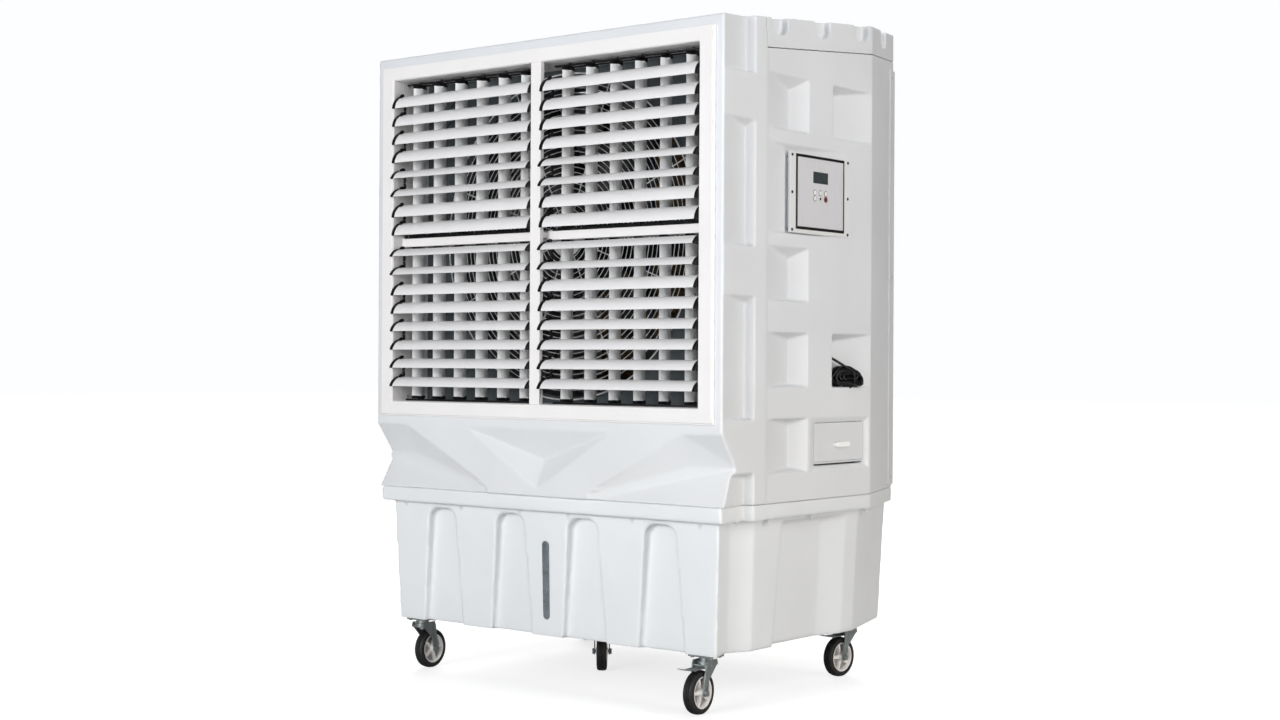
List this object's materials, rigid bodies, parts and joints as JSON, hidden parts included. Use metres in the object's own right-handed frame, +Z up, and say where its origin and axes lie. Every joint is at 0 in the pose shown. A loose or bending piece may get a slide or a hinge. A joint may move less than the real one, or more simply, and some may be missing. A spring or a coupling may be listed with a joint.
{
  "type": "evaporative cooler",
  "caption": "Mobile evaporative cooler with a louvred front outlet, axial fan, wetted pad at the back, water tank below and swivel casters.",
  "frame": {"origin": "on the floor, under the middle of the bounding box; the cabinet's own centre plane is at x = -3.1 mm, because the keys stand out of the +X side", "axes": "+Z up, the louvred front looks along -Y, the control panel side is +X"},
  "size_m": [1.3862, 1.1488, 2.0704],
  "materials": {
    "housing_plastic": "moulded polyethylene shell, fine satin texture, light cool grey",
    "tank_plastic": "moulded polyethylene tank, cream white, satin",
    "frame_white": "powder coated aluminium profile, near white",
    "blade_white": "white louvre blades, black end caps",
    "shroud_paint": "blue grey painted steel",
    "wire_metal": "coated steel wire",
    "dark_plastic": "black nylon",
    "motor_paint": "painted motor casing",
    "rotor_plastic": "glass filled nylon rotor",
    "pad_cellulose": "corrugated cellulose pad",
    "panel_silver": "silver control panel in a white bezel",
    "zinc_steel": "zinc plated steel",
    "tyre_rubber": "black rubber tyre on a cast hub",
    "pump_plastic": "blue black pump casing and pipe",
    "key_white": "small round keys"
  },
  "bodies": {
    "cabinet": {"main_housing": "housing_plastic", "top_cover": "housing_plastic", "water_tank": "tank_plastic", "louver_frame": "frame_white", "fan_shroud": "shroud_paint", "fan_guard": "wire_metal", "fan_motor": "motor_paint", "cooling_pad": "pad_cellulose", "rear_grille": "housing_plastic", "control_panel": "panel_silver", "caster_plates": "zinc_steel", "water_pump": "pump_plastic"},
    "fan_rotor": {"fan_rotor": "rotor_plastic"},
    "access_hatch": {"access_hatch": "housing_plastic"},
    "vane_link_bars": {"vane_link_bars": "dark_plastic"},
    "blade_row_1": {"blade_row_1": "blade_white"},
    "blade_row_2": {"blade_row_2": "blade_white"},
    "blade_row_3": {"blade_row_3": "blade_white"},
    "blade_row_4": {"blade_row_4": "blade_white"},
    "blade_row_5": {"blade_row_5": "blade_white"},
    "blade_row_6": {"blade_row_6": "blade_white"},
    "blade_row_7": {"blade_row_7": "blade_white"},
    "blade_row_8": {"blade_row_8": "blade_white"},
    "blade_row_9": {"blade_row_9": "blade_white"},
    "blade_row_10": {"blade_row_10": "blade_white"},
    "blade_row_11": {"blade_row_11": "blade_white"},
    "blade_row_12": {"blade_row_12": "blade_white"},
    "blade_row_13": {"blade_row_13": "blade_white"},
    "blade_row_14": {"blade_row_14": "blade_white"},
    "blade_row_15": {"blade_row_15": "blade_white"},
    "blade_row_16": {"blade_row_16": "blade_white"},
    "vane_1": {"vane_1": "blade_white"},
    "vane_2": {"vane_2": "blade_white"},
    "vane_3": {"vane_3": "blade_white"},
    "vane_4": {"vane_4": "blade_white"},
    "vane_5": {"vane_5": "blade_white"},
    "vane_6": {"vane_6": "blade_white"},
    "vane_7": {"vane_7": "blade_white"},
    "vane_8": {"vane_8": "blade_white"},
    "vane_9": {"vane_9": "blade_white"},
    "vane_10": {"vane_10": "blade_white"},
    "vane_11": {"vane_11": "blade_white"},
    "vane_12": {"vane_12": "blade_white"},
    "caster_fork_fl": {"caster_fork_fl": "zinc_steel"},
    "wheel_fl": {"wheel_fl": "tyre_rubber"},
    "caster_fork_fr": {"caster_fork_fr": "zinc_steel"},
    "wheel_fr": {"wheel_fr": "tyre_rubber"},
    "brake_pedal_fr": {"brake_pedal_fr": "zinc_steel"},
    "caster_fork_rl": {"caster_fork_rl": "zinc_steel"},
    "wheel_rl": {"wheel_rl": "tyre_rubber"},
    "caster_fork_rr": {"caster_fork_rr": "zinc_steel"},
    "wheel_rr": {"wheel_rr": "tyre_rubber"},
    "brake_pedal_rr": {"brake_pedal_rr": "zinc_steel"},
    "caster_fork_mid": {"caster_fork_mid": "zinc_steel"},
    "wheel_mid": {"wheel_mid": "tyre_rubber"},
    "key_1": {"key_1": "key_white"},
    "key_2": {"key_2": "key_white"},
    "key_3": {"key_3": "key_white"},
    "key_4": {"key_4": "key_white"},
    "key_power": {"key_power": "key_white"}
  },
  "joints": [
    {"name": "fan_spin", "type": "hinge", "parent": "cabinet", "child": "fan_rotor", "pos_m": [-0.0031, -0.31055, 1.376], "axis": [0, 1, 0], "continuous": true},
    {"name": "hatch_hinge", "type": "hinge", "parent": "cabinet", "child": "access_hatch", "pos_m": [0.6639, 0.06845, 0.6975], "axis": [0, 1, 0], "range_deg": [0, 90]},
    {"name": "row_1_tilt", "type": "hinge", "parent": "cabinet", "child": "blade_row_1", "pos_m": [-0.0031, -0.54955, 1.825], "axis": [1, 0, 0], "range_deg": [-80, 25]},
    {"name": "row_2_tilt", "type": "hinge", "parent": "cabinet", "child": "blade_row_2", "pos_m": [-0.0031, -0.54955, 1.767], "axis": [1, 0, 0], "range_deg": [-80, 25]},
    {"name": "row_3_tilt", "type": "hinge", "parent": "cabinet", "child": "blade_row_3", "pos_m": [-0.0031, -0.54955, 1.709], "axis": [1, 0, 0], "range_deg": [-80, 25]},
    {"name": "row_4_tilt", "type": "hinge", "parent": "cabinet", "child": "blade_row_4", "pos_m": [-0.0031, -0.54955, 1.651], "axis": [1, 0, 0], "range_deg": [-80, 25]},
    {"name": "row_5_tilt", "type": "hinge", "parent": "cabinet", "child": "blade_row_5", "pos_m": [-0.0031, -0.54955, 1.593], "axis": [1, 0, 0], "range_deg": [-61, 44]},
    {"name": "row_6_tilt", "type": "hinge", "parent": "cabinet", "child": "blade_row_6", "pos_m": [-0.0031, -0.54955, 1.535], "axis": [1, 0, 0], "range_deg": [-61, 44]},
    {"name": "row_7_tilt", "type": "hinge", "parent": "cabinet", "child": "blade_row_7", "pos_m": [-0.0031, -0.54955, 1.477], "axis": [1, 0, 0], "range_deg": [-80, 25]},
    {"name": "row_8_tilt", "type": "hinge", "parent": "cabinet", "child": "blade_row_8", "pos_m": [-0.0031, -0.54955, 1.419], "axis": [1, 0, 0], "range_deg": [-80, 25]},
    {"name": "row_9_tilt", "type": "hinge", "parent": "cabinet", "child": "blade_row_9", "pos_m": [-0.0031, -0.54955, 1.343], "axis": [1, 0, 0], "range_deg": [-58, 47]},
    {"name": "row_10_tilt", "type": "hinge", "parent": "cabinet", "child": "blade_row_10", "pos_m": [-0.0031, -0.54955, 1.2843], "axis": [1, 0, 0], "range_deg": [-58, 47]},
    {"name": "row_11_tilt", "type": "hinge", "parent": "cabinet", "child": "blade_row_11", "pos_m": [-0.0031, -0.54955, 1.2256], "axis": [1, 0, 0], "range_deg": [-74, 31]},
    {"name": "row_12_tilt", "type": "hinge", "parent": "cabinet", "child": "blade_row_12", "pos_m": [-0.0031, -0.54955, 1.1669], "axis": [1, 0, 0], "range_deg": [-74, 31]},
    {"name": "row_13_tilt", "type": "hinge", "parent": "cabinet", "child": "blade_row_13", "pos_m": [-0.0031, -0.54955, 1.1082], "axis": [1, 0, 0], "range_deg": [-67, 38]},
    {"name": "row_14_tilt", "type": "hinge", "parent": "cabinet", "child": "blade_row_14", "pos_m": [-0.0031, -0.54955, 1.0495], "axis": [1, 0, 0], "range_deg": [-67, 38]},
    {"name": "row_15_tilt", "type": "hinge", "parent": "cabinet", "child": "blade_row_15", "pos_m": [-0.0031, -0.54955, 0.9908], "axis": [1, 0, 0], "range_deg": [-65, 40]},
    {"name": "row_16_tilt", "type": "hinge", "parent": "cabinet", "child": "blade_row_16", "pos_m": [-0.0031, -0.54955, 0.9321], "axis": [1, 0, 0], "range_deg": [-65, 40]},
    {"name": "vane_1_swing", "type": "hinge", "parent": "cabinet", "child": "vane_1", "pos_m": [-0.5651, -0.48855, 1.375], "axis": [0, 0, 1], "range_deg": [-35, 35]},
    {"name": "vane_2_swing", "type": "hinge", "parent": "cabinet", "child": "vane_2", "pos_m": [-0.4717, -0.48855, 1.375], "axis": [0, 0, 1], "range_deg": [-35, 35]},
    {"name": "vane_3_swing", "type": "hinge", "parent": "cabinet", "child": "vane_3", "pos_m": [-0.3783, -0.48855, 1.375], "axis": [0, 0, 1], "range_deg": [-35, 35]},
    {"name": "vane_4_swing", "type": "hinge", "parent": "cabinet", "child": "vane_4", "pos_m": [-0.2849, -0.48855, 1.375], "axis": [0, 0, 1], "range_deg": [-35, 35]},
    {"name": "vane_5_swing", "type": "hinge", "parent": "cabinet", "child": "vane_5", "pos_m": [-0.1915, -0.48855, 1.375], "axis": [0, 0, 1], "range_deg": [-35, 35]},
    {"name": "vane_6_swing", "type": "hinge", "parent": "cabinet", "child": "vane_6", "pos_m": [-0.0981, -0.48855, 1.375], "axis": [0, 0, 1], "range_deg": [-35, 35]},
    {"name": "vane_7_swing", "type": "hinge", "parent": "cabinet", "child": "vane_7", "pos_m": [0.0679, -0.48855, 1.375], "axis": [0, 0, 1], "range_deg": [-35, 35]},
    {"name": "vane_8_swing", "type": "hinge", "parent": "cabinet", "child": "vane_8", "pos_m": [0.1613, -0.48855, 1.375], "axis": [0, 0, 1], "range_deg": [-35, 35]},
    {"name": "vane_9_swing", "type": "hinge", "parent": "cabinet", "child": "vane_9", "pos_m": [0.2547, -0.48855, 1.375], "axis": [0, 0, 1], "range_deg": [-35, 35]},
    {"name": "vane_10_swing", "type": "hinge", "parent": "cabinet", "child": "vane_10", "pos_m": [0.3481, -0.48855, 1.375], "axis": [0, 0, 1], "range_deg": [-35, 35]},
    {"name": "vane_11_swing", "type": "hinge", "parent": "cabinet", "child": "vane_11", "pos_m": [0.4415, -0.48855, 1.375], "axis": [0, 0, 1], "range_deg": [-35, 35]},
    {"name": "vane_12_swing", "type": "hinge", "parent": "cabinet", "child": "vane_12", "pos_m": [0.5349, -0.48855, 1.375], "axis": [0, 0, 1], "range_deg": [-35, 35]},
    {"name": "link_bar_pivot", "type": "hinge", "parent": "vane_1", "child": "vane_link_bars", "pos_m": [-0.5651, -0.47255, 1.375], "axis": [0, 0, 1], "range_deg": [-35, 35]},
    {"name": "caster_fl_swivel", "type": "hinge", "parent": "cabinet", "child": "caster_fork_fl", "pos_m": [-0.5741, -0.45855, 0.144], "axis": [0, 0, 1], "continuous": true},
    {"name": "wheel_fl_roll", "type": "hinge", "parent": "caster_fork_fl", "child": "wheel_fl", "pos_m": [-0.57675, -0.42064, 0.0625], "axis": [-0.9976, -0.0698, 0], "continuous": true},
    {"name": "caster_fr_swivel", "type": "hinge", "parent": "cabinet", "child": "caster_fork_fr", "pos_m": [0.5679, -0.45855, 0.144], "axis": [0, 0, 1], "continuous": true},
    {"name": "wheel_fr_roll", "type": "hinge", "parent": "caster_fork_fr", "child": "wheel_fr", "pos_m": [0.57055, -0.49646, 0.0625], "axis": [0.9976, 0.0698, 0], "continuous": true},
    {"name": "brake_fr_press", "type": "hinge", "parent": "caster_fork_fr", "child": "brake_pedal_fr", "pos_m": [0.56944, -0.4805, 0.131], "axis": [0.9976, 0.0698, 0], "range_deg": [0, 10]},
    {"name": "caster_rl_swivel", "type": "hinge", "parent": "cabinet", "child": "caster_fork_rl", "pos_m": [-0.5381, 0.33845, 0.144], "axis": [0, 0, 1], "continuous": true},
    {"name": "wheel_rl_roll", "type": "hinge", "parent": "caster_fork_rl", "child": "wheel_rl", "pos_m": [-0.57101, 0.35745, 0.0625], "axis": [-0.5, -0.866, 0], "continuous": true},
    {"name": "caster_rr_swivel", "type": "hinge", "parent": "cabinet", "child": "caster_fork_rr", "pos_m": [0.5319, 0.33845, 0.144], "axis": [0, 0, 1], "continuous": true},
    {"name": "wheel_rr_roll", "type": "hinge", "parent": "caster_fork_rr", "child": "wheel_rr", "pos_m": [0.52793, 0.30066, 0.0625], "axis": [0.9945, -0.1045, 0], "continuous": true},
    {"name": "brake_rr_press", "type": "hinge", "parent": "caster_fork_rr", "child": "brake_pedal_rr", "pos_m": [0.5296, 0.31657, 0.131], "axis": [0.9945, -0.1045, 0], "range_deg": [0, 10]},
    {"name": "caster_mid_swivel", "type": "hinge", "parent": "cabinet", "child": "caster_fork_mid", "pos_m": [-0.0871, -0.13855, 0.144], "axis": [0, 0, 1], "continuous": true},
    {"name": "wheel_mid_roll", "type": "hinge", "parent": "caster_fork_mid", "child": "wheel_mid", "pos_m": [-0.11049, -0.10861, 0.0625], "axis": [-0.788, -0.6157, 0], "continuous": true},
    {"name": "key_1_press", "type": "slide", "parent": "cabinet", "child": "key_1", "axis": [-1, 0, 0], "range_m": [0, 0.001]},
    {"name": "key_2_press", "type": "slide", "parent": "cabinet", "child": "key_2", "axis": [-1, 0, 0], "range_m": [0, 0.001]},
    {"name": "key_3_press", "type": "slide", "parent": "cabinet", "child": "key_3", "axis": [-1, 0, 0], "range_m": [0, 0.001]},
    {"name": "key_4_press", "type": "slide", "parent": "cabinet", "child": "key_4", "axis": [-1, 0, 0], "range_m": [0, 0.001]},
    {"name": "key_power_press", "type": "slide", "parent": "cabinet", "child": "key_power", "axis": [-1, 0, 0], "range_m": [0, 0.001]}
  ],
  "couplings": [
    {"joint": "row_2_tilt", "follows": "row_1_tilt", "ratio": 1},
    {"joint": "row_4_tilt", "follows": "row_3_tilt", "ratio": 1},
    {"joint": "row_6_tilt", "follows": "row_5_tilt", "ratio": 1},
    {"joint": "row_8_tilt", "follows": "row_7_tilt", "ratio": 1},
    {"joint": "row_10_tilt", "follows": "row_9_tilt", "ratio": 1},
    {"joint": "row_12_tilt", "follows": "row_11_tilt", "ratio": 1},
    {"joint": "row_14_tilt", "follows": "row_13_tilt", "ratio": 1},
    {"joint": "row_16_tilt", "follows": "row_15_tilt", "ratio": 1},
    {"joint": "vane_2_swing", "follows": "vane_1_swing", "ratio": 1},
    {"joint": "vane_3_swing", "follows": "vane_1_swing", "ratio": 1},
    {"joint": "vane_4_swing", "follows": "vane_1_swing", "ratio": 1},
    {"joint": "vane_5_swing", "follows": "vane_1_swing", "ratio": 1},
    {"joint": "vane_6_swing", "follows": "vane_1_swing", "ratio": 1},
    {"joint": "vane_7_swing", "follows": "vane_1_swing", "ratio": 1},
    {"joint": "vane_8_swing", "follows": "vane_1_swing", "ratio": 1},
    {"joint": "vane_9_swing", "follows": "vane_1_swing", "ratio": 1},
    {"joint": "vane_10_swing", "follows": "vane_1_swing", "ratio": 1},
    {"joint": "vane_11_swing", "follows": "vane_1_swing", "ratio": 1},
    {"joint": "vane_12_swing", "follows": "vane_1_swing", "ratio": 1},
    {"joint": "link_bar_pivot", "follows": "vane_1_swing", "ratio": -1}
  ]
}
